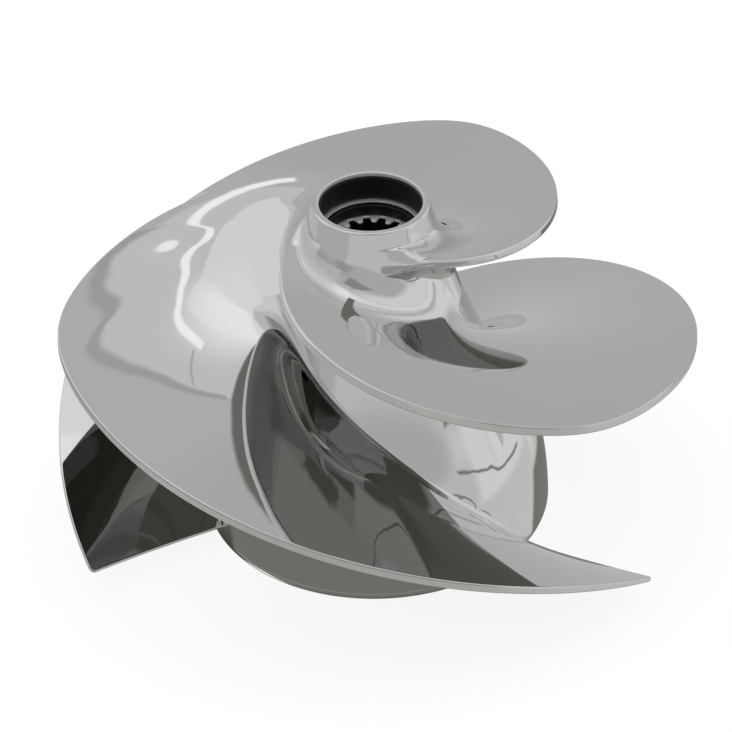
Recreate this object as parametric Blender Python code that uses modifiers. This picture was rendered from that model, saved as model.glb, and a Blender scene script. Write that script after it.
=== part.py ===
"""A polished stainless-steel jet-pump impeller with three swept blades.

It stands on its rear rim with the rotation axis along +Z and the splined bore
at the top. Units are metres. The origin is on the axis, in the plane of the
rear rim. Every ring is turned about the Z axis, and the three blades are one
shape turned through thirds of a circle.
"""

import math

import bmesh
import bpy

MM = 0.001
GAP = 0.3 * MM

# Overall
OBJECT_NAME = "jet_pump_impeller"
TIP_RADIUS = 79.5 * MM
HUB_HEIGHT = 89.0 * MM
BLADES = 3
HUB_STEPS = 48
SMALL_STEPS = 36
SMOOTH_ANGLE = math.radians(35)

# Hub: control points (radius, height) of its outer curve, from the front rim to the rear rim
HUB_CURVE = ((14.2 * MM, 89.0 * MM), (31.1 * MM, 22.5 * MM), (42.6 * MM, 39.0 * MM), (43.2 * MM, 0.0))
HUB_CURVE_POINTS = 12
HUB_WALL = 3.8 * MM
FRONT_BORE_RADIUS = 12.6 * MM
FRONT_FLAT = (13.1 * MM, 13.7 * MM)
RIM_CHAMFER = 0.5 * MM
REAR_FLAT_RADIUS = 40.0 * MM
REAR_ROUND = 1.8 * MM
BOOT_GROOVE_RADIUS = 13.2 * MM
BOOT_GROOVE_TOP = 88.0 * MM
CORE_SEAT_RADIUS = 14.9 * MM
CORE_SEAT_TOP = 80.2 * MM
HOLLOW_TOP = 62.0 * MM
HOLLOW_HEIGHTS = tuple(height * MM for height in (0.6, 16.0, 32.0, 48.0, 60.0))

# Blade: the angle of its leading root, how far it wraps, and its upper surface
LEAD_ANGLE = math.radians(45)
WRAP_ANGLE = math.radians(282)
BLADE_HEIGHTS = (82.6 * MM, 82.6 * MM, 64.4 * MM, 60.0 * MM, 5.6 * MM)
LEAD_SWEEP = math.radians(150)
LEAD_RADII = (17.8 * MM, 17.7 * MM, 49.0 * MM, 82.2 * MM)
LOBE_SHARPNESS = 31.0
EDGE_THICKNESS = 2.4 * MM
TRAIL_START = 0.78
TRAIL_THICKNESS = 1.1 * MM
TRAIL_SWEEP = math.radians(3.2)
TRAIL_DROP = 1.7 * MM
ROOT_THICKNESS = 6.0 * MM
FILLET_HEIGHT = 3.0 * MM
FILLET_WIDTH = 8.0 * MM
FILLET_START = 0.1
ROOT_SINK = 3.0 * MM
EDGE_BEVEL = 0.5 * MM
BLADE_STEPS = 52
BLADE_COLUMNS = 6
COLUMN_CROWDING = 1.5
FLOOR_CLEARANCE = 0.25 * MM

# Core: the tube in the hub that carries the spline sleeve and the shaft thread
CORE_RADIUS = CORE_SEAT_RADIUS - GAP
CORE_TOP = CORE_SEAT_TOP - GAP
CORE_FOOT = 2.0 * MM
CORE_FLARE_RADIUS = 17.5 * MM
CORE_FLARE_TOP = 16.0 * MM
CORE_FLARE_SLOPE = 4.0 * MM
SLEEVE_SEAT_RADIUS = 12.3 * MM
SLEEVE_SEAT_FLOOR = 55.2 * MM
DAMPER_BORE_RADIUS = 9.5 * MM
THREAD_TOP = 48.6 * MM
THREAD_RADIUS = 9.0 * MM
THREAD_RELIEF_TOP = 13.0 * MM
SEAL_SEAT_RADIUS = 13.0 * MM
SEAL_SEAT_TOP = 8.0 * MM

# Spline sleeve
SLEEVE_RADIUS = SLEEVE_SEAT_RADIUS - GAP
SLEEVE_TOP = 77.5 * MM
SLEEVE_LENGTH = 22.0 * MM
SPLINE_TEETH = 16
SPLINE_ROOT_RADIUS = 10.4 * MM
SPLINE_TIP_RADIUS = 8.3 * MM
TOOTH_ROOT_SHARE = 0.64
TOOTH_TIP_SHARE = 0.37
SPLINE_TURN = math.radians(-5)

# Front bore, from the top: the boot's lining, the bright ring under it, the seal on the sleeve
BOOT_RADIUS = BOOT_GROOVE_RADIUS - GAP
BOOT_INNER_RADIUS = 12.3 * MM
BOOT_TOP = BOOT_GROOVE_TOP - GAP
RING_HEIGHTS = (80.8 * MM, 81.3 * MM)
RING_INNER_RADIUS = 11.6 * MM
SEAL_SLEEVE_HEIGHTS = (SLEEVE_TOP + GAP, RING_HEIGHTS[0] - GAP)
SEAL_SLEEVE_INNER_RADIUS = 10.9 * MM
SMALL_CHAMFER = 0.15 * MM

# Rubber damper between the drive shaft and the pump shaft
DAMPER_RADIUS = DAMPER_BORE_RADIUS - GAP
DAMPER_HEIGHTS = (THREAD_TOP + GAP, SLEEVE_SEAT_FLOOR - GAP)
DAMPER_DISH_RADIUS = 5.0 * MM
DAMPER_DISH_DEPTH = 1.0 * MM
DAMPER_CHAMFER = 0.4 * MM

# Seal ring on the pump shaft's shoulder
SEAL_SECTION = 1.45 * MM
SEAL_RADIUS = SEAL_SEAT_RADIUS - GAP - SEAL_SECTION
SEAL_HEIGHT = SEAL_SEAT_TOP - GAP - SEAL_SECTION
SEAL_SECTION_STEPS = 10

# Colour, metallic value and roughness of each finish
FINISHES = {
    "polished_stainless": ((0.72, 0.72, 0.70, 1.0), 1.0, 0.12),
    "machined_steel": ((0.55, 0.55, 0.55, 1.0), 1.0, 0.32),
    "spline_steel": ((0.62, 0.62, 0.62, 1.0), 1.0, 0.25),
    "spring_steel": ((0.62, 0.62, 0.62, 1.0), 1.0, 0.22),
    "black_neoprene": ((0.02, 0.02, 0.02, 1.0), 0.0, 0.55),
    "black_rubber": ((0.03, 0.03, 0.03, 1.0), 0.0, 0.65),
}


def clear_scene():
    for obj in list(bpy.data.objects):
        bpy.data.objects.remove(obj, do_unlink=True)


def new_collection(name):
    collection = bpy.data.collections.new(name)
    bpy.context.scene.collection.children.link(collection)
    return collection


def new_material(node, finish):
    colour, metallic, roughness = FINISHES[finish]
    material = bpy.data.materials.new(f"{node}_{finish}")
    material.use_nodes = True
    shader = material.node_tree.nodes["Principled BSDF"]
    shader.inputs["Base Color"].default_value = colour
    shader.inputs["Metallic"].default_value = metallic
    shader.inputs["Roughness"].default_value = roughness
    return material


def add_object(name, mesh, finish, collection):
    obj = bpy.data.objects.new(name, mesh)
    collection.objects.link(obj)
    if finish:
        obj.data.materials.clear()
        obj.data.materials.append(new_material(name, finish))
    return obj


def bezier(controls, t):
    """The value at t of the Bezier curve with these control values."""
    last = len(controls) - 1
    return sum(
        math.comb(last, i) * value * t**i * (1 - t) ** (last - i) for i, value in enumerate(controls)
    )


def hub_point(t):
    """The radius and height of the hub's outer curve at t, from 0 at the front to 1 at the rear."""
    radii, heights = zip(*HUB_CURVE)
    return bezier(radii, t), bezier(heights, t)


def hub_radius(height):
    """The hub's outer radius at a height, by halving the interval that holds it."""
    low, high = 0.0, 1.0
    for _ in range(40):
        middle = (low + high) / 2
        if hub_point(middle)[1] > height:
            low = middle
        else:
            high = middle
    return hub_point(low)[0]


def arc(centre, radius, start, end, steps):
    """Points (radius, height) along an arc of a turned profile, angles in degrees."""
    points = []
    for i in range(steps + 1):
        angle = math.radians(start + (end - start) * i / steps)
        points.append((centre[0] + radius * math.cos(angle), centre[1] + radius * math.sin(angle)))
    return points


def turned_mesh(name, profile, closed=True):
    """A mesh of one profile of (radius, height) points in the XZ plane."""
    mesh = bpy.data.meshes.new(name)
    count = len(profile)
    edges = [(i, (i + 1) % count) for i in range(count if closed else count - 1)]
    mesh.from_pydata([(radius, 0.0, height) for radius, height in profile], edges, [])
    return mesh


def add_screw(obj, steps):
    """Turns a profile about Z. The profile runs down its outer side."""
    screw = obj.modifiers.new("Turn", "SCREW")
    screw.axis = "Z"
    screw.steps = steps
    screw.render_steps = steps
    screw.use_merge_vertices = True
    screw.merge_threshold = 0.00002
    screw.use_smooth_shade = True
    return screw


def add_turned(name, profile, finish, collection, steps=SMALL_STEPS, closed=True):
    obj = add_object(name, turned_mesh(name, profile, closed), finish, collection)
    add_screw(obj, steps)
    return obj


def hub_outer_profile(offset=0.0):
    """The hub's outer curve, offset outwards, from just under the front rim to just above the rear rim."""
    points = []
    for i in range(HUB_CURVE_POINTS + 1):
        radius, height = hub_point(i / HUB_CURVE_POINTS)
        if REAR_ROUND < height < HUB_HEIGHT - RIM_CHAMFER:
            points.append((radius + offset, height))
    return points


def hub_shell_profile():
    """Rim flat, outer curve, rear rim, the hollow's wall, and the front bore."""
    rim = [(FRONT_FLAT[1], HUB_HEIGHT), (hub_radius(HUB_HEIGHT - RIM_CHAMFER), HUB_HEIGHT - RIM_CHAMFER)]
    rear_centre = (hub_radius(REAR_ROUND) - REAR_ROUND, REAR_ROUND)
    rear = arc(rear_centre, REAR_ROUND, 0, -90, 3) + [(REAR_FLAT_RADIUS, 0.0)]
    hollow = [(hub_radius(height) - HUB_WALL, height) for height in HOLLOW_HEIGHTS]
    bore = [
        (CORE_SEAT_RADIUS, HOLLOW_TOP),
        (CORE_SEAT_RADIUS, CORE_SEAT_TOP),
        (BOOT_GROOVE_RADIUS, CORE_SEAT_TOP),
        (BOOT_GROOVE_RADIUS, BOOT_GROOVE_TOP),
        (FRONT_BORE_RADIUS, BOOT_GROOVE_TOP),
        (FRONT_BORE_RADIUS, HUB_HEIGHT - RIM_CHAMFER),
        (FRONT_FLAT[0], HUB_HEIGHT),
    ]
    return rim + hub_outer_profile() + rear + hollow + bore


def hub_cutter_profile():
    """The hub, one gap larger, standing on a plate that trims the blades level with the rear rim."""
    above = HUB_HEIGHT + 5 * MM
    below = -10 * MM
    beyond = TIP_RADIUS + 20 * MM
    top = [(0.0, above), (hub_radius(HUB_HEIGHT) + GAP, above)]
    plate = [(hub_radius(0.0) + GAP, FLOOR_CLEARANCE), (beyond, FLOOR_CLEARANCE), (beyond, below)]
    return top + hub_outer_profile(GAP) + plate + [(0.0, below)]


def core_profile():
    """The core's outside from top to bottom, then its stepped bore from bottom to top."""
    outside = [
        (CORE_RADIUS - RIM_CHAMFER, CORE_TOP),
        (CORE_RADIUS, CORE_TOP - RIM_CHAMFER),
        (CORE_RADIUS, CORE_FLARE_TOP + CORE_FLARE_SLOPE),
        (CORE_FLARE_RADIUS, CORE_FLARE_TOP),
        (CORE_FLARE_RADIUS, CORE_FOOT + RIM_CHAMFER),
        (CORE_FLARE_RADIUS - RIM_CHAMFER, CORE_FOOT),
    ]
    bore = [
        (SEAL_SEAT_RADIUS + RIM_CHAMFER, CORE_FOOT),
        (SEAL_SEAT_RADIUS, CORE_FOOT + RIM_CHAMFER),
        (SEAL_SEAT_RADIUS, SEAL_SEAT_TOP),
        (THREAD_RADIUS + RIM_CHAMFER, SEAL_SEAT_TOP),
        (THREAD_RADIUS + RIM_CHAMFER, THREAD_RELIEF_TOP),
        (THREAD_RADIUS, THREAD_RELIEF_TOP + RIM_CHAMFER),
        (THREAD_RADIUS, THREAD_TOP),
        (DAMPER_BORE_RADIUS, THREAD_TOP + (THREAD_RADIUS - DAMPER_BORE_RADIUS)),
        (DAMPER_BORE_RADIUS, SLEEVE_SEAT_FLOOR),
        (SLEEVE_SEAT_RADIUS, SLEEVE_SEAT_FLOOR),
        (SLEEVE_SEAT_RADIUS, CORE_TOP),
    ]
    return outside + bore


def ring_profile(inner, outer, low, high):
    """A rectangular section with its two upper corners chamfered."""
    return [
        (outer - SMALL_CHAMFER, high),
        (outer, high - SMALL_CHAMFER),
        (outer, low),
        (inner, low),
        (inner, high - SMALL_CHAMFER),
        (inner + SMALL_CHAMFER, high),
    ]


def damper_profile():
    """A plug with a dished face at each end."""
    low, high = DAMPER_HEIGHTS
    return [
        (0.0, high - DAMPER_DISH_DEPTH),
        (DAMPER_DISH_RADIUS, high),
        (DAMPER_RADIUS - DAMPER_CHAMFER, high),
        (DAMPER_RADIUS, high - DAMPER_CHAMFER),
        (DAMPER_RADIUS, low + DAMPER_CHAMFER),
        (DAMPER_RADIUS - DAMPER_CHAMFER, low),
        (DAMPER_DISH_RADIUS, low),
        (0.0, low + DAMPER_DISH_DEPTH),
    ]


def seal_profile():
    """A round section, started at its top so that it runs down its outer side."""
    return arc((SEAL_RADIUS, SEAL_HEIGHT), SEAL_SECTION, 90, -270, SEAL_SECTION_STEPS)[:-1]


def spline_outline():
    """The toothed inner outline of the sleeve, four points a tooth."""
    pitch = 2 * math.pi / SPLINE_TEETH
    corners = (
        (-TOOTH_ROOT_SHARE, SPLINE_ROOT_RADIUS),
        (-TOOTH_TIP_SHARE, SPLINE_TIP_RADIUS),
        (TOOTH_TIP_SHARE, SPLINE_TIP_RADIUS),
        (TOOTH_ROOT_SHARE, SPLINE_ROOT_RADIUS),
    )
    points = []
    for tooth in range(SPLINE_TEETH):
        for share, radius in corners:
            angle = (tooth + share / 2) * pitch
            points.append((radius * math.cos(angle), radius * math.sin(angle)))
    return points


def add_outline(curve, points):
    spline = curve.splines.new("POLY")
    spline.points.add(len(points) - 1)
    for point, (x, y) in zip(spline.points, points):
        point.co = (x, y, 0.0, 1.0)
    spline.use_cyclic_u = True


def add_spline_sleeve(collection):
    """A flat ring outline with teeth inside, extruded along the axis and welded into one mesh."""
    curve = bpy.data.curves.new("sleeve_outline", "CURVE")
    curve.dimensions = "2D"
    curve.fill_mode = "BOTH"
    curve.extrude = SLEEVE_LENGTH / 2
    circle = [2 * math.pi * i / HUB_STEPS for i in range(HUB_STEPS)]
    add_outline(curve, [(SLEEVE_RADIUS * math.cos(a), SLEEVE_RADIUS * math.sin(a)) for a in circle])
    add_outline(curve, spline_outline())
    guide = bpy.data.objects.new("sleeve_outline", curve)
    collection.objects.link(guide)
    bpy.context.view_layer.update()
    evaluated = guide.evaluated_get(bpy.context.evaluated_depsgraph_get())
    mesh = bpy.data.meshes.new_from_object(evaluated)
    bpy.data.objects.remove(guide, do_unlink=True)
    bm = bmesh.new()
    bm.from_mesh(mesh)
    bmesh.ops.remove_doubles(bm, verts=bm.verts, dist=0.01 * MM)
    bmesh.ops.recalc_face_normals(bm, faces=bm.faces)
    bm.to_mesh(mesh)
    bm.free()
    sleeve = add_object("spline_sleeve", mesh, "spline_steel", collection)
    sleeve.location.z = SLEEVE_TOP - SLEEVE_LENGTH / 2
    sleeve.rotation_euler.z = SPLINE_TURN
    return sleeve


def blade_height(t):
    """The height of the blade's upper surface, at t from 0 at the leading root to 1 at the trailing edge."""
    return bezier(BLADE_HEIGHTS, t)


def blade_outline(t):
    """The blade's outer radius: it sweeps out from the hub and then follows the tip circle."""
    sweep = min(t * WRAP_ANGLE / LEAD_SWEEP, 1.3)
    radius = bezier(LEAD_RADII, sweep)
    return (radius**-LOBE_SHARPNESS + TIP_RADIUS**-LOBE_SHARPNESS) ** (-1 / LOBE_SHARPNESS)


def trailing_share(t):
    """0 over most of the blade, rising to 1 at the trailing edge."""
    return max(0.0, (t - TRAIL_START) / (1.0 - TRAIL_START)) ** 2


def blade_thickness(t, near_root):
    """The blade's thickness: thin at the trailing edge and thick at the leading part's root."""
    edge = EDGE_THICKNESS + (TRAIL_THICKNESS - EDGE_THICKNESS) * trailing_share(t)
    return edge + (ROOT_THICKNESS - edge) * near_root * (1.0 - t)


def blade_point(across, t):
    """A point of the blade's upper surface, with its share of root thickening.

    across runs from 0 inside the hub to 1 at the outer edge.
    """
    angle = LEAD_ANGLE + WRAP_ANGLE * t
    height = blade_height(t)
    root = hub_radius(height)
    radius = root - ROOT_SINK + (blade_outline(t) - root + ROOT_SINK) * across**COLUMN_CROWDING
    near_root = max(0.0, 1.0 - max(radius - root, 0.0) / FILLET_WIDTH) ** 2
    inward = (TIP_RADIUS - radius) / (TIP_RADIUS - root) * trailing_share(t)
    angle -= TRAIL_SWEEP * inward
    height += FILLET_HEIGHT * near_root * min(t / FILLET_START, 1.0) - TRAIL_DROP * inward
    return (radius * math.cos(angle), radius * math.sin(angle), height), near_root


def blade_mesh():
    """A flat grid moved onto the blade's upper surface, with the thickness share in a vertex group."""
    bm = bmesh.new()
    bmesh.ops.create_grid(bm, x_segments=BLADE_COLUMNS, y_segments=BLADE_STEPS, size=0.5)
    weights = []
    for vert in bm.verts:
        t = vert.co.y + 0.5
        place, near_root = blade_point(vert.co.x + 0.5, t)
        vert.co = place
        weights.append(blade_thickness(t, near_root) / ROOT_THICKNESS)
    mesh = bpy.data.meshes.new("blade")
    bm.to_mesh(mesh)
    bm.free()
    return mesh, weights


def add_blade(name, mesh, weights, turn, cutter, collection):
    blade = add_object(name, mesh, "polished_stainless", collection)
    group = blade.vertex_groups.new(name="thickness")
    for index, weight in enumerate(weights):
        group.add([index], weight, "REPLACE")
    blade.rotation_euler.z = turn
    solidify = blade.modifiers.new("Thickness", "SOLIDIFY")
    solidify.thickness = ROOT_THICKNESS
    solidify.offset = -1.0
    solidify.vertex_group = group.name
    bevel = blade.modifiers.new("Edge", "BEVEL")
    bevel.width = EDGE_BEVEL
    bevel.segments = 1
    bevel.limit_method = "ANGLE"
    bevel.angle_limit = math.radians(60)
    cut = blade.modifiers.new("Root", "BOOLEAN")
    cut.operation = "DIFFERENCE"
    cut.solver = "EXACT"
    cut.object = cutter
    return blade


def main():
    clear_scene()
    parts = new_collection(OBJECT_NAME)
    cutters = new_collection("cutters")

    hub_cutter = add_turned("hub_cutter", hub_cutter_profile(), None, cutters, HUB_STEPS, closed=False)
    hub_cutter.hide_render = True
    hub_cutter.display_type = "WIRE"

    add_turned("hub_shell", hub_shell_profile(), "polished_stainless", parts, HUB_STEPS)
    add_turned("hub_core", core_profile(), "machined_steel", parts)
    boot = ring_profile(BOOT_INNER_RADIUS, BOOT_RADIUS, RING_HEIGHTS[1] + GAP, BOOT_TOP)
    add_turned("bore_boot", boot, "black_neoprene", parts)
    ring = ring_profile(RING_INNER_RADIUS, BOOT_RADIUS, *RING_HEIGHTS)
    add_turned("boot_ring", ring, "spring_steel", parts)
    seal_sleeve = ring_profile(SEAL_SLEEVE_INNER_RADIUS, SLEEVE_RADIUS, *SEAL_SLEEVE_HEIGHTS)
    add_turned("front_seal", seal_sleeve, "black_neoprene", parts)
    add_turned("shaft_damper", damper_profile(), "black_rubber", parts, closed=False)
    add_turned("rear_seal", seal_profile(), "black_rubber", parts)
    add_spline_sleeve(parts)

    for index in range(BLADES):
        mesh, weights = blade_mesh()
        turn = 2 * math.pi * index / BLADES
        add_blade(f"blade_{index + 1}", mesh, weights, turn, hub_cutter, parts)

    for obj in parts.objects:
        obj.data.shade_smooth()
        obj.data.set_sharp_from_angle(angle=SMOOTH_ANGLE)


main()
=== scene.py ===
"""The looks of a polished jet-pump impeller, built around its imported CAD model."""

import math
from collections import namedtuple

import bpy
import numpy as np
from mathutils import Matrix, Vector


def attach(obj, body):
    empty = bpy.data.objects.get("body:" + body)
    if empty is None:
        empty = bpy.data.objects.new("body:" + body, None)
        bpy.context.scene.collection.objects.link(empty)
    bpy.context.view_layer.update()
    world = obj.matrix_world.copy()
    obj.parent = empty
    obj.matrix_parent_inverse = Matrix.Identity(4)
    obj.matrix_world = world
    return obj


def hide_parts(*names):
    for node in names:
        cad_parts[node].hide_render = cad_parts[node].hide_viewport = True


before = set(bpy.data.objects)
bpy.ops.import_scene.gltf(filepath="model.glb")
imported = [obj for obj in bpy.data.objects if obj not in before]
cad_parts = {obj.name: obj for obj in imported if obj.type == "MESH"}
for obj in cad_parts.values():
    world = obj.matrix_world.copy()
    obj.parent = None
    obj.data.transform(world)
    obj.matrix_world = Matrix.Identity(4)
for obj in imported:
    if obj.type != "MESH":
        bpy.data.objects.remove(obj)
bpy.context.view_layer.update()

# All shapes below are worked out in millimetres and made in metres
MM = 0.001

# Hub, as in the solids: a Bezier curve of (radius, height) and the wall inside it
HUB_CURVE = ((14.2, 89.0), (31.1, 22.5), (42.6, 39.0), (43.2, 0.0))
HUB_WALL = 3.8
HUB_STEPS = 256

# The hub is polished to these depths under its outer surface, below and above these heights
POLISH_DEPTHS = (2.7, 0.9)
POLISH_HEIGHTS = (50.0, 60.0)
POLISH_FADE = 0.7

# Blades, as in the solids. A place along a blade is t: 0 where its leading edge begins, 1 at its trailing
# edge. The leading edge's curve is followed to LEAD_END, and the tip radius rounds it off
BLADES = 3
TIP_RADIUS = 79.4
LEAD_ANGLE = math.radians(45)
WRAP_ANGLE = math.radians(282)
BLADE_HEIGHTS = (82.6, 82.6, 64.4, 60.0, 5.6)
LEAD_SWEEP = math.radians(150)
LEAD_RADII = (17.8, 17.7, 49.0, 82.2)
LEAD_END = 1.3
LOBE_SHARPNESS = 31.0
EDGE_THICKNESS = 2.4
TRAIL_START = 0.78
TRAIL_THICKNESS = 1.1
TRAIL_SWEEP = math.radians(3.2)
TRAIL_DROP = 1.7

# How a blade begins: a ridge on the hub turns into the blade's section, and its edge grows outwards from
# START to GROWN
START = -0.07
START_DEPTH = 0.4
GROWN = 0.05
RIDGE_END = (0.02, 0.13)
RIDGE_MIDDLE = -0.45 * EDGE_THICKNESS
RIDGE_UPPER = 3.4
RIDGE_LOWER = 2.6

# Root fillets: first and last size and the span of t between them, the softness of the larger ones,
# and the most of the blade's width that each of a fillet's two rows on the blade may take
Fillet = namedtuple("Fillet", "sizes span softness shares")
UPPER_FILLET = Fillet(sizes=(11.0, 2.0), span=(0.50, 0.66), softness=0.17, shares=(0.42, 0.6))
LOWER_FILLET = Fillet(sizes=(5.0, 2.0), span=(0.25, 0.55), softness=0.2, shares=(0.3, 0.5))
FILLET_FADE = (0.97, 1.0)
FILLET_LEFT = 0.15

# A fillet's rows on the hub, in multiples of its size. They end below the neck's top and sink a little into
# the hub, and the section closes deeper inside it
HUB_ROWS = (1.0, 1.6, 2.2)
NECK_TOP = 87.4
SINK = 0.05
INSIDE = 2.0

# Outer edge: round at first, by a share of its thickness, and ground flat further out, with small roundings.
# They take at most a share of a narrow blade's width
EDGE_MACHINED = (0.3, 0.42)
EDGE_ROUND = 0.45
FULL_ROUND = 0.42
LARGEST_INSET = 0.15
TIP_ROUND = 1.6

# Blade grid: sections along the blade, more over its last stretch, where the thickness rounds off to a
# small share, and samples for each control point round a section
BLADE_ROWS = 330
TRAIL_ROWS = 8
TRAIL_LENGTH = 1.2
THINNEST = 0.03
SAMPLES = 4

# Marks for the finish and painted shade: the control points, counted round a section, that bound its outer
# edge, the one in its upper corner, the columns beside it over which its mark fades, and the spans of t where
# it begins and ends
EDGE_CONTROLS = (10.9, 13.6)
CORNER_CONTROL = 3
CORNER_COLUMNS = (1, 5)
CORNER_START = (0.02, 0.08)
CORNER_END = (0.24, 0.32)

# Bore: the sleeve's teeth, the core's thread with the heights over which it fades in and out from its ends,
# the rubber plug and the rear ring
SPLINE_TEETH = 16
SPLINE_TURN = math.radians(-5)
SPLINE_ROOT = 10.4
SPLINE_TIP = 8.3
SPLINE_STEEPNESS = 2.4
SPLINE_STEPS = 24
SLEEVE_RADIUS = 12.0
SLEEVE_HEIGHTS = (77.5, 55.5)
THREAD_RADIUS = 9.0
THREAD_DEPTH = 0.9
THREAD_PITCH = 2.5
THREAD_HEIGHTS = (13.2, 48.4)
THREAD_ROWS_A_TURN = 8
THREAD_RUN_IN = (0.0, 1.8)
THREAD_RUN_OUT = (1.9, 0.4)
PLUG_RADIUS = 9.2
PLUG_MIDDLE = 51.9
PLUG_THICKNESSES = (4.0, 6.0)
SEAL_RADIUS = 11.25
SEAL_HEIGHT = 6.25
SEAL_THICKNESS = 2.9


def smoothstep(value, low, high):
    share = np.clip((value - low) / (high - low), 0.0, 1.0)
    return share * share * (3.0 - 2.0 * share)


def bezier(controls, t):
    last = len(controls) - 1
    return sum(math.comb(last, i) * c * t**i * (1 - t) ** (last - i) for i, c in enumerate(controls))


def hub_curve(steps):
    t = np.linspace(0.0, 1.0, steps)
    radii, heights = zip(*HUB_CURVE)
    return bezier(radii, t), bezier(heights, t)


HUB_RADII, HUB_HEIGHTS = hub_curve(6000)


def hub_radius(height):
    return np.interp(height, HUB_HEIGHTS[::-1], HUB_RADII[::-1])


def new_object(name, points, faces):
    mesh = bpy.data.meshes.new(name)
    mesh.from_pydata((np.asarray(points) * MM).tolist(), [], faces)
    mesh.update()
    obj = bpy.data.objects.new(name, mesh)
    bpy.context.scene.collection.objects.link(obj)
    mesh.shade_smooth()
    return obj


def grid_faces(rows, columns, close_rows=False, close_columns=False):
    """Quads between neighbouring points of a grid, stored row by row."""
    faces = []
    for row in range(rows if close_rows else rows - 1):
        for column in range(columns if close_columns else columns - 1):
            here, onward = row * columns, (row + 1) % rows * columns
            beside = (column + 1) % columns
            faces.append((here + column, here + beside, onward + beside, onward + column))
    return faces


def mark(obj, name, values):
    """Stores one number a vertex, which the material reads."""
    attribute = obj.data.attributes.new(name, "FLOAT", "POINT")
    attribute.data.foreach_set("value", np.asarray(values, np.float32))


# ---------------------------------------------------------------- blades


def trailing_share(t):
    return np.maximum(0.0, (t - TRAIL_START) / (1.0 - TRAIL_START)) ** 2


def blade_thickness(t):
    return EDGE_THICKNESS + (TRAIL_THICKNESS - EDGE_THICKNESS) * trailing_share(t)


def blade_outline(t):
    """The outer edge's radius: the leading edge's sweep, held in smoothly by the tip radius."""
    sweep = np.minimum(np.maximum(t, 0.0) * WRAP_ANGLE / LEAD_SWEEP, LEAD_END)
    radius = bezier(LEAD_RADII, sweep)
    return (radius**-LOBE_SHARPNESS + TIP_RADIUS**-LOBE_SHARPNESS) ** (-1 / LOBE_SHARPNESS)


def blade_surface(t, radius):
    """Points of the blade's upper surface."""
    angle = LEAD_ANGLE + WRAP_ANGLE * t
    height = bezier(BLADE_HEIGHTS, t)
    root = hub_radius(height)
    inward = (TIP_RADIUS - radius) / (TIP_RADIUS - root) * trailing_share(t)
    angle = angle - TRAIL_SWEEP * inward
    return np.stack((radius * np.cos(angle), radius * np.sin(angle), height - TRAIL_DROP * inward), -1)


def blade_place(t, radius, offset):
    """Points at an offset along the upper surface's normal."""
    radius_step, t_step = 0.02, 0.0002
    here = blade_surface(t, radius)
    outward = blade_surface(t, radius + radius_step) - here
    onward = blade_surface(t + t_step, radius) - here
    normal = np.cross(outward, onward)
    normal /= np.linalg.norm(normal, axis=-1, keepdims=True)
    return here + offset[..., None] * normal


def on_hub(t, offset):
    """The radius at which a point at this offset lies on the hub, found in a few rounds."""
    offset = offset + 0.0 * t
    radius = hub_radius(bezier(BLADE_HEIGHTS, t) + offset)
    for _ in range(8):
        place = blade_place(t, radius, offset)
        radius = radius - np.hypot(place[..., 0], place[..., 1]) + hub_radius(place[..., 2])
    return radius


def outer_edge(t, root):
    """The edge's radius: it grows out of the hub, follows the outline and ends in a rounded corner."""
    outer = blade_outline(t)
    grown = smoothstep(t, START, GROWN)
    outer = np.where(t < GROWN, root + (outer - root) * grown - START_DEPTH * (1.0 - grown), outer)
    to_end = (1.0 - t) * WRAP_ANGLE * TIP_RADIUS
    corner = np.clip(TIP_ROUND - to_end, 0.0, TIP_ROUND)
    return outer - TIP_ROUND + np.sqrt(TIP_ROUND**2 - corner**2)


def radial_stretch(t, outer):
    """How much longer a step along the radius is than the same step square to the outline."""
    step = 0.001
    growth = (blade_outline(t + step) - blade_outline(t - step)) / (2 * step)
    climb = (bezier(BLADE_HEIGHTS, t + step) - bezier(BLADE_HEIGHTS, t - step)) / (2 * step)
    return np.sqrt(1.0 + growth**2 / ((outer * WRAP_ANGLE) ** 2 + climb**2))


def edge_rounding(t):
    """Fully round where the blade begins, and small where the edge is ground flat."""
    roundest = FULL_ROUND * blade_thickness(t)
    rounding = EDGE_ROUND + (roundest - EDGE_ROUND) * (1.0 - smoothstep(t, *EDGE_MACHINED))
    return np.minimum(rounding, roundest)


def fillet_size(t, fillet):
    first, last = fillet.sizes
    size = first + (last - first) * smoothstep(t, *fillet.span)
    fade = 1.0 - smoothstep(t, *FILLET_FADE)
    return size * (FILLET_LEFT + (1.0 - FILLET_LEFT) * fade)


def fillet_runs(size, width, fillet):
    """How far from the root the fillet's two rows on the blade lie."""
    return [np.minimum((i + 1) * size, share * width) for i, share in enumerate(fillet.shares)]


def fillet_middle(t, base, level, run, leg, fillet):
    """The control point in the corner. It moves off the corner where the fillet is soft."""
    soft = fillet.softness * (1.0 - smoothstep(t, *fillet.span))
    return base + soft * run, level + soft * leg


def face_controls(level, base, outer, inset, runs):
    """Control points across one face, from its root out to its edge."""
    inner = base + runs[1]
    rim = outer - 2 * inset
    between = [(inner + (rim - inner) * share, level) for share in (0.33, 0.67)]
    return [(base + runs[0], level), (inner, level), *between, (rim, level), (outer - inset, level)]


def ridge_controls(t, protrusion, upper, lower, count):
    """A soft ridge on the hub, which is how the leading edge begins."""
    rows = []
    for share in np.linspace(0.0, 1.0, count):
        offset = upper + (lower - upper) * share
        spread = np.where(offset > RIDGE_MIDDLE, RIDGE_UPPER, RIDGE_LOWER)
        height = protrusion * np.exp(-(((offset - RIDGE_MIDDLE) / spread) ** 2))
        rows.append((on_hub(t, offset) + height, offset))
    return rows


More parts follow.
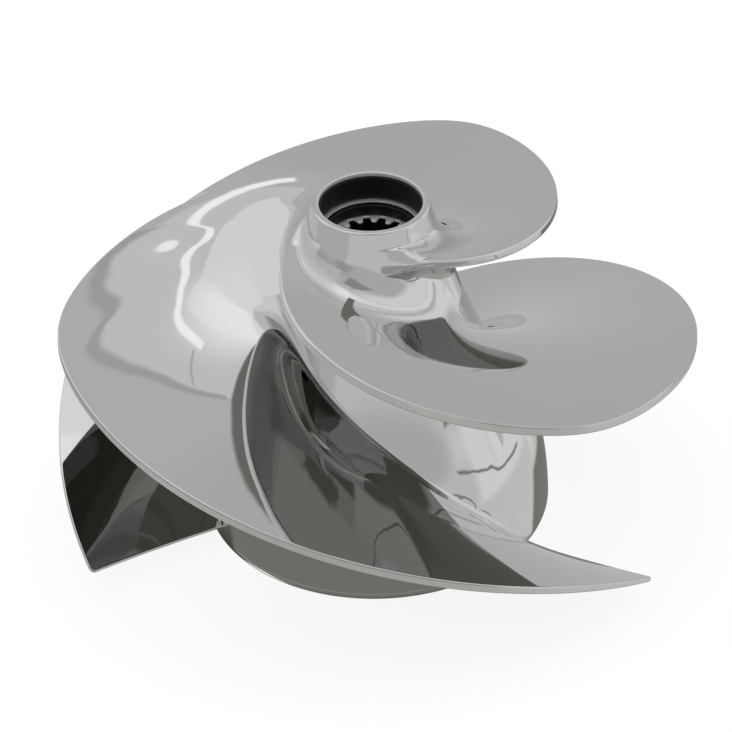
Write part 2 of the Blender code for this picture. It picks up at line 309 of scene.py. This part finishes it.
def section_controls(t):
    """Control points round the section, from the hub above the blade, out, and back to the hub below."""
    zero = 0.0 * t
    depth = blade_thickness(t)
    upper_size, lower_leg = fillet_size(t, UPPER_FILLET), fillet_size(t, LOWER_FILLET)
    upper_leg = np.minimum(upper_size, (NECK_TOP - bezier(BLADE_HEIGHTS, t)) / HUB_ROWS[-1])
    root, low_root = on_hub(t, 0.0), on_hub(t, -depth)
    outer = outer_edge(t, root)
    width = np.maximum(outer - root, 0.0)
    rounding = edge_rounding(t)
    inset = np.minimum(rounding * radial_stretch(t, outer), LARGEST_INSET * width)

    upper_runs = fillet_runs(upper_size, width, UPPER_FILLET)
    lower_runs = fillet_runs(lower_leg, width, LOWER_FILLET)
    blade = [fillet_middle(t, root, zero, upper_runs[0], upper_leg, UPPER_FILLET)]
    blade += face_controls(zero, root, outer, inset, upper_runs)
    blade += [(outer, level) for level in (zero, -rounding, -depth / 2, rounding - depth, -depth)]
    blade += face_controls(-depth, low_root, outer, inset, lower_runs)[::-1]
    blade += [fillet_middle(t, low_root, -depth, lower_runs[0], -lower_leg, LOWER_FILLET)]

    ridge = ridge_controls(t, outer - root, upper_leg, -depth - lower_leg, len(blade))
    share = smoothstep(t, *RIDGE_END)
    blade = [(a + (b - a) * share, c + (d - c) * share) for (a, c), (b, d) in zip(ridge, blade)]

    above = [(on_hub(t, upper_leg * k) - SINK, upper_leg * k) for k in reversed(HUB_ROWS)]
    below = [(on_hub(t, -depth - lower_leg * k) - SINK, -depth - lower_leg * k) for k in HUB_ROWS]
    inside = [(radius - INSIDE, offset) for radius, offset in (below[-1], above[0])]
    return above + blade + below + inside


def spline_weights(samples):
    """The weights of four neighbouring control points along a uniform cubic B-spline."""
    s = np.arange(samples) / samples
    return np.stack(((1 - s) ** 3, 3 * s**3 - 6 * s**2 + 4, -3 * s**3 + 3 * s**2 + 3 * s + 1, s**3), -1) / 6


def closed_spline(controls):
    """Samples of the closed curve that each row's control points draw."""
    weights = spline_weights(SAMPLES)
    shares = [np.roll(controls, 1 - k, axis=-1)[..., None] * weights[:, k] for k in range(4)]
    return sum(shares).reshape(len(controls), -1)


def blade_rows():
    """The sections' places along the blade, crowded towards the trailing edge."""
    end = TRAIL_LENGTH / (WRAP_ANGLE * TIP_RADIUS)
    main = np.linspace(START, 1.0 - end, BLADE_ROWS)
    last = 1.0 - end * (1.0 - np.sin(np.linspace(0.0, math.pi / 2, TRAIL_ROWS + 1)[1:]))
    return np.concatenate((main, last))


def blade_points():
    t = blade_rows()
    controls = section_controls(t)
    radii = closed_spline(np.stack([radius for radius, _ in controls], -1))
    offsets = closed_spline(np.stack([offset for _, offset in controls], -1))

    # The trailing edge is rounded: its section thins to almost nothing over half its thickness
    half = TRAIL_THICKNESS / 2
    to_end = np.clip((1.0 - t) * WRAP_ANGLE * TIP_RADIUS / half, 0.0, 1.0)
    thin = np.maximum(np.sqrt(1.0 - (1.0 - to_end) ** 2), THINNEST)[:, None]
    middle = -blade_thickness(t)[:, None] / 2
    offsets = middle + (offsets - middle) * thin
    times = np.repeat(t[:, None], radii.shape[1], axis=1)
    return blade_place(times, radii, offsets)


def edge_share(columns):
    """1 on the section's outer edge, 0 on its faces, for each column of the blade's grid."""
    first, last = (control * SAMPLES for control in EDGE_CONTROLS)
    half = (last - first) / 2
    return 1.0 - smoothstep(np.abs(np.arange(columns) - (first + last) / 2), half - 1, half + 1)


def under_share(columns):
    """1 from the section's outer edge on, which is its lower face, darkened by the material as painted shade.
    """
    first = EDGE_CONTROLS[1] * SAMPLES
    return smoothstep(np.arange(columns), first, first + SAMPLES)


def corner_share(columns):
    """1 where the upper face meets the hub, falling away from there."""
    return 1.0 - smoothstep(np.abs(np.arange(columns) - CORNER_CONTROL * SAMPLES), *CORNER_COLUMNS)


def shaded_corner_stretch(t):
    """1 along the stretch where that corner is too tight to polish fully, so it is rougher there; its darker
    colour there is painted shade.
    """
    return (1.0 - smoothstep(t, *CORNER_END)) * smoothstep(t, *CORNER_START)


def add_blade(name, points, turn):
    """One blade, turned about the axis. Its first and last sections are closed by one face each."""
    rows, columns = points.shape[:2]
    faces = grid_faces(rows, columns, close_columns=True)
    faces.append(tuple(range(columns)))
    faces.append(tuple(reversed(range((rows - 1) * columns, rows * columns))))
    cos, sin = math.cos(turn), math.sin(turn)
    turned = points.reshape(-1, 3) @ np.array(((cos, sin, 0.0), (-sin, cos, 0.0), (0.0, 0.0, 1.0)))
    blade = new_object(name, turned, faces)
    t = blade_rows()
    mark(blade, "machined", np.outer(smoothstep(t, *EDGE_MACHINED), edge_share(columns)).ravel())
    mark(blade, "under", np.tile(under_share(columns), rows))
    mark(blade, "corner", np.outer(shaded_corner_stretch(t), corner_share(columns)).ravel())
    return blade


# ---------------------------------------------------------------- hub


def rounded(profile, radius_of):
    """A closed profile with its corners rounded; radius_of maps a corner's index to its rounding."""
    points = [np.array(p, float) for p in profile]
    result = []
    for i, corner in enumerate(points):
        reach = radius_of.get(i, 0.0)
        before, after = points[i - 1], points[(i + 1) % len(points)]
        if reach == 0.0:
            result.append(corner)
            continue
        start = corner + (before - corner) / np.linalg.norm(before - corner) * reach
        end = corner + (after - corner) / np.linalg.norm(after - corner) * reach
        for s in np.linspace(0.0, 1.0, 7):
            result.append((1 - s) ** 2 * start + 2 * s * (1 - s) * corner + s**2 * end)
    return result


def turned_points(profile, steps):
    """A grid of the points of a closed profile of (radius, height), round the axis."""
    radius, height = np.array(profile, float).T
    angles = np.linspace(0.0, 2 * math.pi, steps, endpoint=False)[:, None]
    return np.stack((radius * np.cos(angles), radius * np.sin(angles), height + 0.0 * angles), -1)


def add_grid(name, points, crease=50):
    """A piece whose grid closes on itself both ways. It stays sharp past the crease angle."""
    faces = grid_faces(*points.shape[:2], close_rows=True, close_columns=True)
    obj = new_object(name, points.reshape(-1, 3), faces)
    obj.data.set_sharp_from_angle(angle=math.radians(crease))
    return obj


def add_turned(name, profile, steps=192):
    return add_grid(name, turned_points(profile, steps))


def hub_profile():
    """The bell's outer curve, its rim and rear rim, the hollow behind it and the bore."""
    radii, heights = hub_curve(150)
    keep = (heights > 2.2) & (heights < 88.5)
    outer = list(zip(radii[keep], heights[keep]))
    rim = rounded([(12.6, 84.0), (12.6, 89.0), (14.25, 89.0), (15.2, 85.0)], {1: 0.4, 2: 0.55})[1:-1]
    rear_radius = float(hub_radius(2.0))
    rear = rounded([(rear_radius, 2.4), (rear_radius, 0.0), (39.5, 0.0), (39.4, 2.0)], {1: 1.8, 2: 0.3})[1:-1]
    hollow = [(float(hub_radius(h)) - HUB_WALL, h) for h in np.linspace(1.5, 60.0, 30)]
    bore = [(14.9, 62.0), (14.9, 80.2), (13.2, 80.2), (13.2, 88.0), (12.6, 88.0)]
    return rim + outer + rear + hollow + bore


def add_hub(name):
    """The hub, marked as machined where it is deeper than its polished skin."""
    hub = add_turned(name, hub_profile(), HUB_STEPS)
    x, y, height = np.array([vertex.co for vertex in hub.data.vertices]).T / MM
    depth = hub_radius(height) - np.hypot(x, y)
    low, high = POLISH_DEPTHS
    least = low + (high - low) * smoothstep(height, *POLISH_HEIGHTS)
    mark(hub, "machined", smoothstep(depth, least, least + POLISH_FADE))
    mark(hub, "under", 0.0 * depth)
    mark(hub, "corner", 0.0 * depth)
    return hub


# ---------------------------------------------------------------- bore pieces


def ring_profile(inner, outer, low, high, rounding):
    """A ring's section with rounded corners."""
    corners = [(outer, high), (outer, low), (inner, low), (inner, high)]
    return rounded(corners, dict.fromkeys(range(4), rounding))


def lining_profile():
    """The boot's lining: a thin wall with a small lip at its top."""
    wall = [(12.36, 82.2), (12.36, 86.9), (12.3, 87.2), (12.3, 87.6)]
    return [(12.5, 87.7), (12.9, 87.6), (12.9, 81.6), (12.5, 81.6)] + wall


def plug_profile():
    """The rubber plug: dished ends and a rounded rim. It is thinnest at its middle."""
    thin, thick = (thickness / 2 for thickness in PLUG_THICKNESSES)
    hole, flat = 0.02, 8.0
    dish = [(hole + r, thin + (thick - thin) * smoothstep(r, 1.5, 5.5)) for r in np.linspace(0.0, 6.0, 9)]
    upper = [(radius, PLUG_MIDDLE + half) for radius, half in dish]
    lower = [(radius, PLUG_MIDDLE - half) for radius, half in reversed(dish)]
    high, low = PLUG_MIDDLE + thick, PLUG_MIDDLE - thick
    corners = [(flat, high), (PLUG_RADIUS, high), (PLUG_RADIUS, low), (flat, low)]
    return upper + rounded(corners, {1: 0.7, 2: 0.7})[1:-1] + lower


def seal_profile():
    """The rear ring's round section."""
    half = SEAL_THICKNESS / 2
    angles = np.linspace(math.pi / 2, -1.5 * math.pi, 24, endpoint=False)
    return [(SEAL_RADIUS + half * math.cos(a), SEAL_HEIGHT + half * math.sin(a)) for a in angles]


def sleeve_points():
    """The sleeve's grid: round the axis, and round a section whose inner radius follows the teeth."""
    angles = np.linspace(0.0, 2 * math.pi, SPLINE_TEETH * SPLINE_STEPS, endpoint=False)
    wave = np.tanh(SPLINE_STEEPNESS * np.cos(SPLINE_TEETH * (angles - SPLINE_TURN)))
    depth = (SPLINE_ROOT - SPLINE_TIP) / 2
    inner = (SPLINE_ROOT + SPLINE_TIP) / 2 - depth * wave / math.tanh(SPLINE_STEEPNESS)
    outer = SLEEVE_RADIUS + 0.0 * angles
    high, low = SLEEVE_HEIGHTS
    section = [(outer - 0.2, high), (outer, high - 0.2), (outer, low), (inner, low)]
    section += [(inner, high - 0.45), (inner + 0.12, high - 0.15), (inner + 0.4, high)]
    rows = [np.stack((r * np.cos(angles), r * np.sin(angles), 0.0 * angles + z), -1) for r, z in section]
    return np.stack(rows, 1)


def add_sleeve(name):
    """The splined sleeve, bright on its end and the edges of its teeth."""
    points = sleeve_points()
    sleeve = add_grid(name, points)
    # The mark is 0 on the teeth's flanks, which the material paints near-black as painted shade
    mark(sleeve, "machined", np.tile([1, 1, 0, 0, 0, 0.6, 1], len(points)))
    return sleeve


def core_points(steps=120):
    """The core's grid: a stepped tube whose bore carries a helical thread."""
    outside = [(14.1, 79.9), (14.6, 79.4), (14.6, 20.0), (17.5, 16.0), (17.5, 2.5), (17.0, 2.0)]
    seat = [(13.4, 2.0), (13.0, 2.4), (13.0, 8.0), (10.1, 8.0), (10.1, 13.0)]
    low, high = THREAD_HEIGHTS
    count = int((high - low) / THREAD_PITCH * THREAD_ROWS_A_TURN)
    thread = [(THREAD_RADIUS, z) for z in np.linspace(low, high, count)]
    top = [(9.5, 49.1), (9.5, 55.2), (12.3, 55.2), (12.3, 79.4), (12.6, 79.9)]
    radius, height = np.array(outside + seat + thread + top).T
    threaded = radius == THREAD_RADIUS

    angles = np.linspace(0.0, 2 * math.pi, steps, endpoint=False)[:, None]
    turns = height / THREAD_PITCH - angles / (2 * math.pi)
    first, last = (low + run for run in THREAD_RUN_IN), (high - run for run in THREAD_RUN_OUT)
    ends = smoothstep(height, *first) * (1.0 - smoothstep(height, *last))
    cut = THREAD_DEPTH * smoothstep(np.abs(turns % 1.0 - 0.5) * 2.0, 0.15, 0.85) * ends
    radius = radius + np.where(threaded, cut, 0.0)
    return np.stack((radius * np.cos(angles), radius * np.sin(angles), height + 0.0 * angles), -1)


# ---------------------------------------------------------------- materials


class Nodes:
    """A node tree with short ways to add and join nodes. A colour is a tuple of three numbers."""

    def __init__(self, tree):
        self.tree = tree

    def add(self, kind, **settings):
        node = self.tree.nodes.new(kind)
        for name, value in settings.items():
            setattr(node, name, value)
        return node

    def feed(self, socket, value):
        """Gives a socket a number, a colour or another node's output."""
        if isinstance(value, (int, float)):
            socket.default_value = value
        elif isinstance(value, tuple):
            socket.default_value = (*value, 1.0)
        else:
            self.tree.links.new(value, socket)

    def maths(self, operation, *values):
        node = self.add("ShaderNodeMath", operation=operation)
        for socket, value in zip(node.inputs, values):
            self.feed(socket, value)
        return node.outputs["Value"]

    def blend(self, share, first, second):
        """Mixes two colours."""
        node = self.add("ShaderNodeMix", data_type="RGBA")
        self.feed(node.inputs["Factor"], share)
        sockets = [socket for socket in node.inputs if socket.type == "RGBA"]
        self.feed(sockets[0], first)
        self.feed(sockets[1], second)
        return next(socket for socket in node.outputs if socket.type == "RGBA")


class Shader(Nodes):
    """A material on one Principled BSDF."""

    def __init__(self, name, base, metallic, roughness):
        self.material = bpy.data.materials.new(name)
        self.material.use_nodes = True
        super().__init__(self.material.node_tree)
        self.surface = self.tree.nodes["Principled BSDF"]
        self.give("Base Color", base)
        self.give("Metallic", metallic)
        self.give("Roughness", roughness)
        self.place = self.add("ShaderNodeTexCoord").outputs["Object"]

    def give(self, name, value):
        """Feeds one of the surface's sockets."""
        self.feed(self.surface.inputs[name], value)

    def share(self, name):
        """The number that mark() stored under a name."""
        return self.add("ShaderNodeAttribute", attribute_name=name).outputs["Fac"]

    def noise(self, scale, detail, stretch=None):
        node = self.add("ShaderNodeTexNoise")
        self.feed(node.inputs["Scale"], scale)
        self.feed(node.inputs["Detail"], detail)
        place = self.place
        if stretch:
            mapping = self.add("ShaderNodeMapping")
            mapping.inputs["Scale"].default_value = stretch
            self.feed(mapping.inputs["Vector"], place)
            place = mapping.outputs["Vector"]
        self.feed(node.inputs["Vector"], place)
        return node.outputs["Fac"]

    def ramp(self, value, low, high):
        """Turns 0 to 1 into low to high."""
        node = self.add("ShaderNodeMapRange")
        self.feed(node.inputs["To Min"], low)
        self.feed(node.inputs["To Max"], high)
        self.feed(node.inputs["Value"], value)
        return node.outputs["Result"]

    def bump(self, height, distance, before=None):
        node = self.add("ShaderNodeBump")
        self.feed(node.inputs["Distance"], distance)
        self.feed(node.inputs["Height"], height)
        if before:
            self.feed(node.inputs["Normal"], before)
        return node.outputs["Normal"]


def polished_stainless():
    """Mirror polish with soft waves; satin where only machined; painted shade darkens the blades' lower faces
    and the corners at their roots.
    """
    shader = Shader("polished_stainless", (0.66, 0.66, 0.66), 1.0, 0.05)
    machined, under, corner = shader.share("machined"), shader.share("under"), shader.share("corner")
    tint = shader.blend(shader.noise(55.0, 3.0), (0.65, 0.65, 0.65), (0.67, 0.67, 0.668))
    # Painted shade: the blades' lower faces are darkened, standing in for the darker reflections under the
    # blades
    tint = shader.blend(under, tint, (0.40, 0.40, 0.385))
    # Painted shade: the corner where the upper face meets the hub is darkened
    tint = shader.blend(corner, tint, (0.5, 0.5, 0.5))
    tint = shader.blend(machined, tint, (0.78, 0.78, 0.77))
    shader.give("Base Color", tint)
    dull = shader.maths("ADD", machined, shader.maths("MULTIPLY", corner, 0.35))
    shader.give("Metallic", shader.ramp(dull, 1.0, 0.35))
    haze = shader.ramp(shader.noise(140.0, 4.0), 0.015, 0.04)
    satin = shader.maths("MULTIPLY", machined, shader.ramp(shader.noise(600.0, 3.0), 0.3, 0.45))
    satin = shader.maths("MULTIPLY_ADD", corner, 0.1, satin)
    shader.give("Roughness", shader.maths("ADD", haze, satin))
    swell = shader.ramp(under, 0.22, 0.6)
    waves = shader.bump(shader.maths("MULTIPLY", shader.noise(34.0, 0.0), swell), 0.0009)
    dents = shader.bump(shader.noise(95.0, 1.0), 0.000015, before=waves)
    lines = shader.maths("MULTIPLY", machined, shader.noise(2200.0, 2.0))
    shader.give("Normal", shader.bump(lines, 0.00001, before=dents))
    return shader.material


def satin_steel(name, base, roughness, metallic=1.0):
    """Turned steel: fine rings, mottled colour and uneven gloss."""
    shader = Shader(name, base, metallic, roughness)
    light, dark = [tuple(c * k for c in base) for k in (1.1, 0.85)]
    shader.give("Base Color", shader.blend(shader.noise(260.0, 4.0), dark, light))
    shader.give("Roughness", shader.ramp(shader.noise(500.0, 3.0), roughness - 0.08, roughness + 0.1))
    shader.give("Normal", shader.bump(shader.noise(400.0, 2.0, stretch=(0.15, 0.15, 8.0)), 0.00003))
    return shader.material


def steel_with_painted_shade(name, base):
    """Ground bright on the end faces, and near-black between the teeth as painted shade down the bore."""
    shader = Shader(name, base, 0.35, 0.4)
    dark, light = [tuple(k * c for c in base) for k in (0.6, 1.3)]
    bright = shader.blend(shader.noise(900.0, 4.0), dark, light)
    # Painted shade: near-black colour on the teeth's flanks down the bore
    black = shader.blend(shader.noise(300.0, 3.0), (0.006, 0.006, 0.006), (0.02, 0.02, 0.018))
    shader.give("Base Color", shader.blend(shader.share("machined"), black, bright))
    shader.give("Roughness", shader.ramp(shader.noise(500.0, 3.0), 0.3, 0.5))
    shader.give("Normal", shader.bump(shader.noise(1500.0, 2.0), 0.00002))
    return shader.material


def black_rubber(name, base, roughness):
    """Moulded rubber with a fine grain and a faint bloom."""
    shader = Shader(name, (base, base, base), 0.0, roughness)
    dark, light = (base * 0.6,) * 3, (base * 1.7, base * 1.7, base * 1.6)
    shader.give("Base Color", shader.blend(shader.noise(180.0, 5.0), dark, light))
    shader.give("Roughness", shader.ramp(shader.noise(320.0, 3.0), roughness - 0.1, roughness + 0.12))
    shader.give("Normal", shader.bump(shader.noise(2600.0, 3.0), 0.00004))
    return shader.material


# ---------------------------------------------------------------- sky, floor and camera


# The pale ceiling in the upper sky, seen from below. Its curves are (along, over) points: two parts of a
# direction, where along runs with the lamp's strip. It is brighter under its outer curve, which a dark line
# follows, and nearly white under its inner one
CEILING_AXIS = (0.81, 0.586)
CEILING_OUTER = (
    (-0.80, 0.27), (-0.60, 0.375), (-0.454, 0.406), (-0.386, 0.431), (-0.344, 0.424), (-0.322, 0.446),
    (-0.27, 0.459), (-0.215, 0.468), (-0.116, 0.502), (-0.02, 0.54), (0.15, 0.58),
)
CEILING_INNER = (
    (-0.80, 0.20), (-0.548, 0.331), (-0.473, 0.312), (-0.403, 0.301), (-0.311, 0.293), (-0.243, 0.336),
    (-0.208, 0.356), (-0.136, 0.358), (-0.036, 0.357), (0.032, 0.331), (0.114, 0.354),
)
LAMP = (
    (-0.611, 0.4095), (-0.525, 0.385), (-0.457, 0.367), (-0.441, 0.329), (-0.417, 0.321), (-0.379, 0.3365),
    (-0.315, 0.333), (-0.258, 0.356), (-0.203, 0.3835), (-0.129, 0.400), (-0.099, 0.410),
)
OUTER_HALO = 0.09

# Two more strips in the upper sky, as (y, x) points of a direction: the ceiling's corner and a dark beam
CEILING_CORNER = ((0.41, 0.15), (0.44, 0.18), (0.46, 0.21))
DARK_BEAM = ((0.22, 0.335), (0.45, 0.345), (0.72, 0.355))

# Thin dark lines at the right, as (azimuth, elevation) points in degrees
DARK_LINES = (
    ((312, 11), (330, -5), (345, -22), (360, -32), (392, -38)),
    ((328, 12), (345, 5), (360, -3), (382, -8)),
)
SKY_COLOUR = (0.56, 0.56, 0.555)
BACKDROP_COLOUR = (0.975, 0.975, 0.97)


class Sky(Nodes):
    """A world painted with soft lights, each over those before it, at angles in degrees."""

    def __init__(self):
        world = bpy.data.worlds.new("studio")
        bpy.context.scene.world = world
        world.use_nodes = True
        super().__init__(world.node_tree)
        direction = self.add("ShaderNodeTexCoord").outputs["Generated"]
        wobble = self.add("ShaderNodeTexNoise")
        self.feed(wobble.inputs["Scale"], 5.0)
        self.feed(wobble.inputs["Detail"], 1.0)
        self.feed(wobble.inputs["Vector"], direction)
        self.wobble = self.maths("SUBTRACT", wobble.outputs["Fac"], 0.5)
        parts = self.add("ShaderNodeSeparateXYZ")
        self.feed(parts.inputs["Vector"], direction)
        self.x, self.y, self.z = parts.outputs
        self.azimuth = self.maths("DEGREES", self.maths("ARCTAN2", self.y, self.x))
        self.elevation = self.maths("DEGREES", self.maths("ARCSINE", self.z))
        # Azimuths from the left round the front to the right, without a jump
        self.front = self.maths("WRAP", self.azimuth, 480.0, 120.0)
        cos, sin = CEILING_AXIS
        self.along = self.maths("MULTIPLY_ADD", self.x, cos, self.maths("MULTIPLY", self.y, -sin))
        self.over = self.maths("MULTIPLY_ADD", self.x, sin, self.maths("MULTIPLY", self.y, cos))
        # 1 in the upper sky behind the object, where the ceiling is
        behind = self.inside(self.maths("MULTIPLY", self.y, -1.0), 0.0, 0.12)
        self.above = self.maths("MULTIPLY", behind, self.maths("GREATER_THAN", self.z, 0.0))
        self.colour = SKY_COLOUR

    def inside(self, distance, half, soft):
        """1 within half of the middle, falling smoothly to 0 over soft."""
        node = self.add("ShaderNodeMapRange", interpolation_type="SMOOTHSTEP")
        self.feed(node.inputs["From Min"], half - soft / 2)
        self.feed(node.inputs["From Max"], half + soft / 2)
        self.feed(node.inputs["To Min"], 1.0)
        self.feed(node.inputs["To Max"], 0.0)
        self.feed(node.inputs["Value"], distance)
        return node.outputs["Result"]

    def between(self, position, first, last, soft):
        """1 between two positions, falling smoothly to 0 at both."""
        away = self.maths("ABSOLUTE", self.maths("SUBTRACT", position, (first + last) / 2))
        return self.inside(away, (last - first) / 2, soft)

    def paint(self, share, grey, warmth=0.0):
        """Lays a grey over the sky so far. Warmth takes it towards yellow."""
        warm = grey * (1 + warmth)
        self.colour = self.blend(share, self.colour, (warm, warm, grey * (1 - warmth)))

    def light(self, azimuth, elevation, width, height, soft, grey, warmth=0.0, wobble=0.0):
        """Paints one soft rectangle, whose edges wobble by some degrees."""
        across = self.maths("WRAP", self.maths("SUBTRACT", self.azimuth, azimuth), 180.0, -180.0)
        up = self.maths("SUBTRACT", self.elevation, elevation)
        if wobble:
            shift = self.maths("MULTIPLY", self.wobble, wobble)
            across = self.maths("ADD", across, shift)
            up = self.maths("ADD", up, shift)
        sides = self.inside(self.maths("ABSOLUTE", across), width / 2, soft)
        ends = self.inside(self.maths("ABSOLUTE", up), height / 2, min(soft, height))
        self.paint(self.maths("MULTIPLY", sides, ends), grey, warmth)

    def below(self, elevation, soft, grey, warmth):
        """Paints everything lower than an elevation."""
        self.paint(self.inside(self.elevation, elevation, soft), grey, warmth)

    def follow(self, position, points):
        """A smooth curve's height at a position, through (position, height) points."""
        places, heights = zip(*points)
        start, reach = places[0], places[-1] - places[0]
        low, rise = min(heights) - 0.1 * reach, max(heights) - min(heights) + 0.2 * reach
        node = self.add("ShaderNodeFloatCurve")
        line = node.mapping.curves[0].points
        for place in places[2:]:
            line.new((place - start) / reach, 0.0)
        for point, (place, height) in zip(line, points):
            point.location = ((place - start) / reach, (height - low) / rise)
        node.mapping.update()
        share = self.maths("DIVIDE", self.maths("SUBTRACT", position, start), reach)
        self.feed(node.inputs["Value"], share)
        return self.maths("MULTIPLY_ADD", node.outputs["Value"], rise, low)

    def strip(self, position, height, points, half, soft, grey, warmth=0.0):
        """Paints a band along a curve in the upper sky, from its first point to its last."""
        away = self.maths("ABSOLUTE", self.maths("SUBTRACT", height, self.follow(position, points)))
        ends = self.between(position, points[0][0], points[-1][0], soft)
        share = self.maths("MULTIPLY", self.inside(away, half, soft), ends)
        self.paint(self.maths("MULTIPLY", share, self.above), grey, warmth)

    def fill(self, points, soft, grey):
        """Paints everything under a ceiling curve in the upper sky."""
        under = self.maths("SUBTRACT", self.over, self.follow(self.along, points))
        self.paint(self.maths("MULTIPLY", self.inside(under, 0.0, soft), self.above), grey)

    def spot(self, x, y, across, up, grey):
        """Paints a soft oval in the upper sky."""
        across = self.maths("DIVIDE", self.maths("SUBTRACT", self.x, x), across)
        up = self.maths("DIVIDE", self.maths("SUBTRACT", self.y, y), up)
        square = self.maths("ADD", self.maths("MULTIPLY", across, across), self.maths("MULTIPLY", up, up))
        self.paint(self.maths("MULTIPLY", self.inside(square, 1.0, 0.5), self.above), grey)

    def trace(self, points, half, grey):
        """Paints a thin line through (azimuth, elevation) points, which bends a little on its way."""
        azimuth = self.maths("MULTIPLY_ADD", self.wobble, 10.0, self.front)
        away = self.maths("ABSOLUTE", self.maths("SUBTRACT", self.elevation, self.follow(azimuth, points)))
        ends = self.between(azimuth, points[0][0], points[-1][0], 4.0)
        self.paint(self.maths("MULTIPLY", self.inside(away, half, 1.0), ends), grey, 0.02)

    def finish(self, backdrop):
        """Joins the lights to the world; the camera itself sees a plain backdrop."""
        seen = self.add("ShaderNodeLightPath").outputs["Is Camera Ray"]
        self.feed(self.tree.nodes["Background"].inputs["Color"], self.blend(seen, self.colour, backdrop))


def paint_ceiling(sky):
    """Behind and above: a pale ceiling with a lamp's long strip, a spot, its corner and a dark beam."""
    halo = [(along, over + OUTER_HALO) for along, over in CEILING_OUTER]
    sky.fill(halo, 0.1, 0.61)
    sky.fill(CEILING_OUTER, 0.006, 0.74)
    sky.strip(sky.along, sky.over, CEILING_OUTER[2:-1], 0.007, 0.008, 0.48)
    sky.fill(CEILING_INNER, 0.004, 0.92)
    sky.light(100, 80, 200, 24, 12, 0.98)
    sky.light(60, 77, 70, 20, 12, 1.15)
    sky.strip(sky.along, sky.over, LAMP, 0.008, 0.005, 1.25)
    sky.spot(-0.115, 0.545, 0.010, 0.013, 1.2)
    sky.strip(sky.y, sky.x, CEILING_CORNER, 0.004, 0.003, 0.5)
    sky.strip(sky.y, sky.x, DARK_BEAM, 0.032, 0.01, 0.18, 0.05)


def paint_front(sky):
    """The viewer's side: a darker wall over a pale band."""
    sky.light(276, 62, 54, 28, 10, 0.33)
    sky.light(285, 30, 90, 36, 16, 0.55, 0.01)
    sky.light(232, 28, 24, 24, 10, 0.42, 0.02, wobble=20)
    sky.light(285, 0, 110, 26, 8, 0.68, 0.01)
    sky.light(285, -20, 120, 16, 5, 0.55, 0.02, wobble=6)
    sky.light(278, -18, 36, 12, 4, 0.24, 0.03, wobble=14)


def paint_bench(sky):
    """Below: the dark bench, with the bright paper's edge along it."""
    sky.below(-26, 3, 0.215, 0.05)
    sky.light(355, -26, 80, 28, 6, 0.72, 0.01)
    sky.light(225, -38, 150, 1.6, 1, 0.45, 0.02)
    sky.light(125, -47, 60, 26, 8, 0.07, 0.08)
    sky.light(165, -55, 26, 16, 3, 1.5)
    sky.below(-62, 8, 0.15, 0.06)
    for line in DARK_LINES:
        sky.trace(line, 0.7, 0.26)


def build_sky():
    """A light's numbers are its azimuth, elevation, width, height, softness, grey and warmth."""
    sky = Sky()
    # Overhead and right: the large soft lights
    sky.light(30, 80, 400, 50, 20, 0.68)
    sky.light(185, 62, 90, 50, 16, 0.84)
    sky.light(5, 22, 84, 94, 20, 0.88)
    paint_ceiling(sky)
    paint_front(sky)
    paint_bench(sky)
    sky.finish(BACKDROP_COLOUR)


def build_floor():
    """A pale floor that takes shadows and shows in no reflection."""
    reach = 6000.0
    corners = [(-reach, -reach, 0.0), (reach, -reach, 0.0), (reach, reach, 0.0), (-reach, reach, 0.0)]
    floor = new_object("floor", corners, [(0, 1, 2, 3)])
    floor.location.z = -0.0004
    pale = Shader("pale_floor", (0.25, 0.25, 0.25), 0.0, 1.0)
    pale.give("Specular IOR Level", 0.0)
    pale.give("Emission Color", (1.0, 1.0, 0.995))
    pale.give("Emission Strength", 0.86)
    floor.data.materials.append(pale.material)
    floor.visible_glossy = False
    floor.visible_diffuse = False


def build_camera():
    elevation = math.radians(35.892)
    roll = math.radians(1.503)
    distance = 0.9981
    target = Vector((-0.002162, 0.0, 0.040052))
    camera = bpy.data.objects.new("camera", bpy.data.cameras.new("camera"))
    bpy.context.scene.collection.objects.link(camera)
    place = target + distance * Vector((0.0, -math.cos(elevation), math.sin(elevation)))
    tilt = Matrix.Rotation(math.pi / 2 - elevation, 4, "X")
    camera.matrix_world = Matrix.Translation(place) @ tilt @ Matrix.Rotation(-roll, 4, "Z")
    camera.data.lens = 198.05
    camera.data.sensor_width = 36
    bpy.context.scene.camera = camera


# ---------------------------------------------------------------- assembly


def show(obj, material, slot, *nodes):
    """Gives a piece its material and lets it stand for CAD nodes."""
    obj.data.materials.clear()
    obj.data.materials.append(material)
    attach(obj, "root")
    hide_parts(*nodes)


def build_hub_and_blades():
    steel = polished_stainless()
    show(add_hub("hub"), steel, "polished_stainless", "hub_shell")
    points = blade_points()
    for index in range(BLADES):
        vane = add_blade(f"vane_{index + 1}", points, 2 * math.pi * index / BLADES)
        show(vane, steel, "polished_stainless", f"blade_{index + 1}")


def build_bore_pieces():
    neoprene = black_rubber("black_neoprene", 0.005, 0.5)
    rubber = black_rubber("black_rubber", 0.025, 0.6)
    bright = satin_steel("spring_steel", (0.88, 0.88, 0.87), 0.24, metallic=0.5)
    teeth = steel_with_painted_shade("spline_steel", (0.95, 0.95, 0.93))
    turned = satin_steel("machined_steel", (0.5, 0.5, 0.49), 0.34)

    ledge = ring_profile(11.6, 12.9, 80.8, 81.3, 0.15)
    front_seal = ring_profile(10.9, 12.0, 77.8, 80.5, 0.25)
    show(add_turned("boot_lining", lining_profile()), neoprene, "black_neoprene", "bore_boot")
    show(add_turned("boot_ledge", ledge), bright, "spring_steel", "boot_ring")
    show(add_turned("sleeve_seal", front_seal), neoprene, "black_neoprene", "front_seal")
    show(add_sleeve("splines"), teeth, "spline_steel", "spline_sleeve")
    show(add_grid("core", core_points(), crease=35), turned, "machined_steel", "hub_core")
    show(add_turned("damper", plug_profile()), rubber, "black_rubber", "shaft_damper")
    show(add_turned("shoulder_seal", seal_profile()), rubber, "black_rubber", "rear_seal")


bpy.context.scene.view_settings.view_transform = "Standard"
build_hub_and_blades()
build_bore_pieces()
build_sky()
build_floor()
build_camera()
